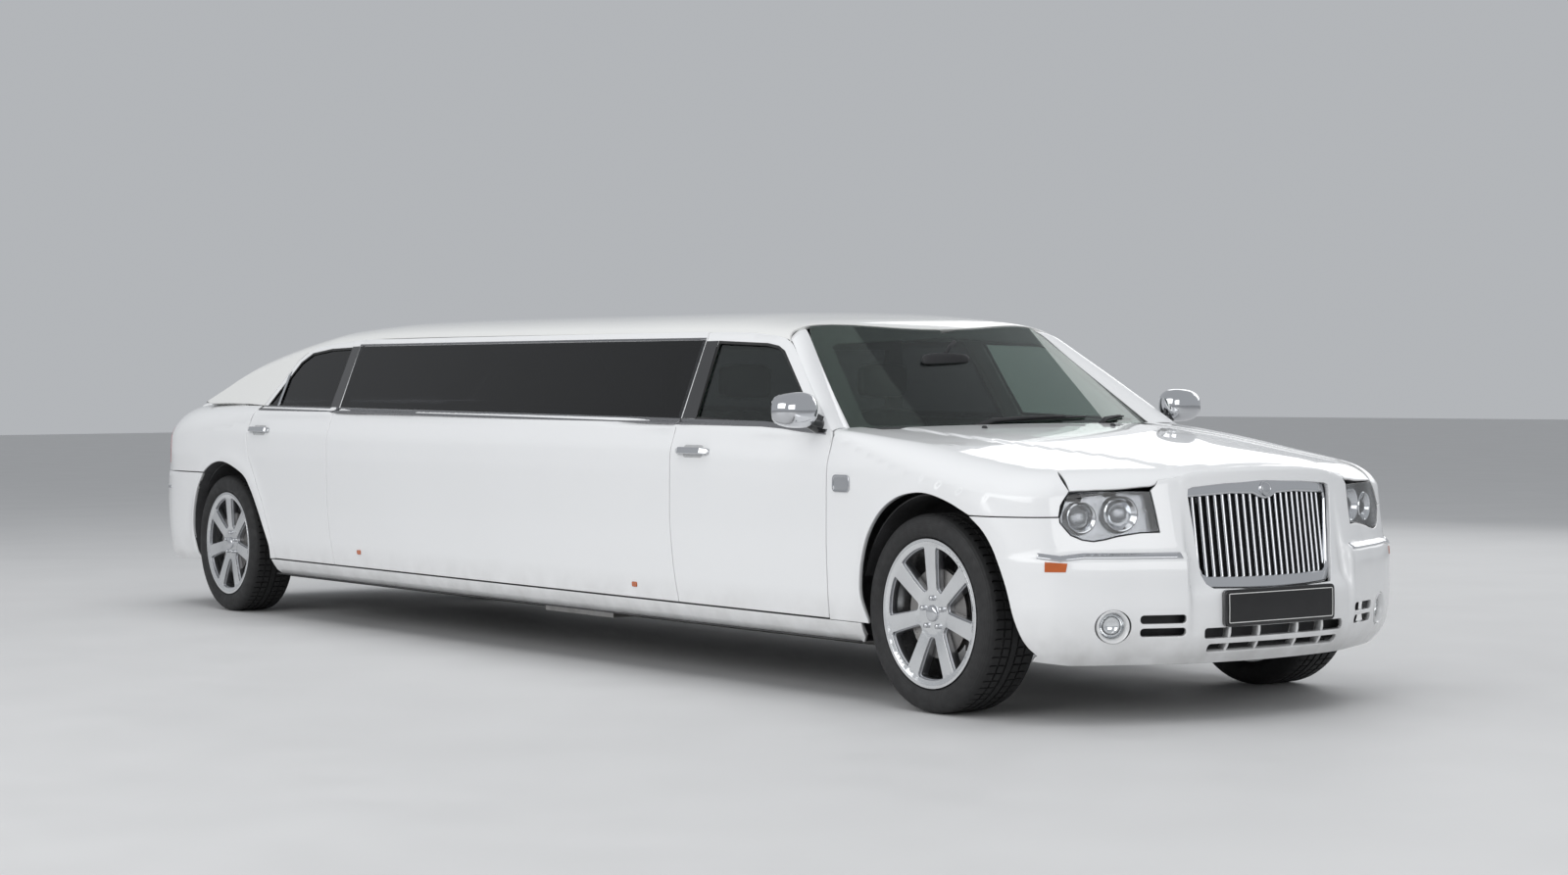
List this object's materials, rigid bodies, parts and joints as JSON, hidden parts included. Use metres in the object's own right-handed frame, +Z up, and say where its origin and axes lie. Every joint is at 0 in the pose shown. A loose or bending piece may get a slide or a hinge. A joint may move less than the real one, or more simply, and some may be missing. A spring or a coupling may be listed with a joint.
{
  "type": "stretch limousine",
  "caption": "White four-door saloon stretched into a limousine, with upright grille, long dark side windows, opening doors, hood and trunk, and steered front wheels.",
  "frame": {"origin": "on the ground at the middle of the car's length and width", "axes": "+X forwards, +Y to the car's left, +Z up"},
  "size_m": [8.0467, 2.18, 1.5298],
  "materials": {
    "paint_white": "gloss",
    "roof_cream": "satin",
    "bumper_white": "gloss",
    "black_trim": "matte",
    "underbody": "matte",
    "steel": "satin",
    "iron": "matte",
    "alloy": "satin",
    "tyre": "matte",
    "chrome": "mirror",
    "glass_dark": "gloss",
    "glass_clear": "gloss",
    "lamp_clear": "gloss",
    "lamp_red": "gloss",
    "leather": "satin",
    "bar_wood": "gloss"
  },
  "bodies": {
    "body": {"bar_cabinet": "bar_wood", "cowl": "black_trim", "dashboard": "black_trim", "engine": "iron", "engine_bay": "underbody", "exhaust": "steel", "floor_pan": "underbody", "fog_lamps": "lamp_clear", "front_bumper": "bumper_white", "front_fender_left": "paint_white", "front_fender_right": "paint_white", "front_seats": "leather", "front_subframe": "iron", "fuel_tank": "black_trim", "grille": "chrome", "headlamps": "lamp_clear", "partition": "leather", "propshaft": "steel", "quarter_panel_left": "paint_white", "quarter_panel_right": "paint_white", "rear_axle": "iron", "rear_bench": "leather", "rear_bumper": "bumper_white", "rear_window": "glass_dark", "roof": "roof_cream", "side_bench": "leather", "side_panel_left": "paint_white", "side_panel_right": "paint_white", "side_windows": "glass_dark", "sills": "paint_white", "steering_wheel": "leather", "tail_lamps": "lamp_red", "trunk_well": "underbody", "wheel_liners": "black_trim", "windscreen": "glass_clear"},
    "hood": {"hood": "paint_white"},
    "trunk_lid": {"trunk_lid": "paint_white"},
    "front_door_right": {"door_front_right": "paint_white", "door_glass_front_right": "glass_clear", "door_mirror_right": "chrome"},
    "rear_door_right": {"door_rear_right": "paint_white", "door_glass_rear_right": "glass_dark"},
    "steering_right": {"knuckle_right": "iron"},
    "front_wheel_right": {"rim_front_right": "alloy", "tyre_front_right": "tyre"},
    "rear_wheel_right": {"rim_rear_right": "alloy", "tyre_rear_right": "tyre"},
    "front_door_left": {"door_front_left": "paint_white", "door_glass_front_left": "glass_clear", "door_mirror_left": "chrome"},
    "rear_door_left": {"door_rear_left": "paint_white", "door_glass_rear_left": "glass_dark"},
    "steering_left": {"knuckle_left": "iron"},
    "front_wheel_left": {"rim_front_left": "alloy", "tyre_front_left": "tyre"},
    "rear_wheel_left": {"rim_rear_left": "alloy", "tyre_rear_left": "tyre"}
  },
  "joints": [
    {"name": "steer_right", "type": "hinge", "parent": "body", "child": "steering_right", "pos_m": [3.1385, -0.73, 0.364], "axis": [0, 0, 1], "range_deg": [-35, 35]},
    {"name": "front_wheel_right_spin", "type": "hinge", "parent": "steering_right", "child": "front_wheel_right", "pos_m": [3.1385, -0.8, 0.364], "axis": [0, 1, 0], "continuous": true},
    {"name": "rear_wheel_right_spin", "type": "hinge", "parent": "body", "child": "rear_wheel_right", "pos_m": [-2.9575, -0.8, 0.364], "axis": [0, 1, 0], "continuous": true},
    {"name": "front_door_right_hinge", "type": "hinge", "parent": "body", "child": "front_door_right", "pos_m": [2.4635, -0.936, 0.6], "axis": [0, 0, 1], "range_deg": [0, 65]},
    {"name": "rear_door_right_hinge", "type": "hinge", "parent": "body", "child": "rear_door_right", "pos_m": [-1.7965, -0.936, 0.6], "axis": [0, 0, 1], "range_deg": [0, 65]},
    {"name": "steer_left", "type": "hinge", "parent": "body", "child": "steering_left", "pos_m": [3.1385, 0.73, 0.364], "axis": [0, 0, 1], "range_deg": [-35, 35]},
    {"name": "front_wheel_left_spin", "type": "hinge", "parent": "steering_left", "child": "front_wheel_left", "pos_m": [3.1385, 0.8, 0.364], "axis": [0, 1, 0], "continuous": true},
    {"name": "rear_wheel_left_spin", "type": "hinge", "parent": "body", "child": "rear_wheel_left", "pos_m": [-2.9575, 0.8, 0.364], "axis": [0, 1, 0], "continuous": true},
    {"name": "front_door_left_hinge", "type": "hinge", "parent": "body", "child": "front_door_left", "pos_m": [2.4635, 0.936, 0.6], "axis": [0, 0, -1], "range_deg": [0, 65]},
    {"name": "rear_door_left_hinge", "type": "hinge", "parent": "body", "child": "rear_door_left", "pos_m": [-1.7965, 0.936, 0.6], "axis": [0, 0, -1], "range_deg": [0, 65]},
    {"name": "hood_hinge", "type": "hinge", "parent": "body", "child": "hood", "pos_m": [2.5585, 0, 1.03], "axis": [0, -1, 0], "range_deg": [0, 50]},
    {"name": "trunk_lid_hinge", "type": "hinge", "parent": "body", "child": "trunk_lid", "pos_m": [-3.4725, 0, 1.125], "axis": [0, 1, 0], "range_deg": [0, 75]}
  ],
  "couplings": [
    {"joint": "steer_left", "follows": "steer_right", "ratio": 1}
  ]
}
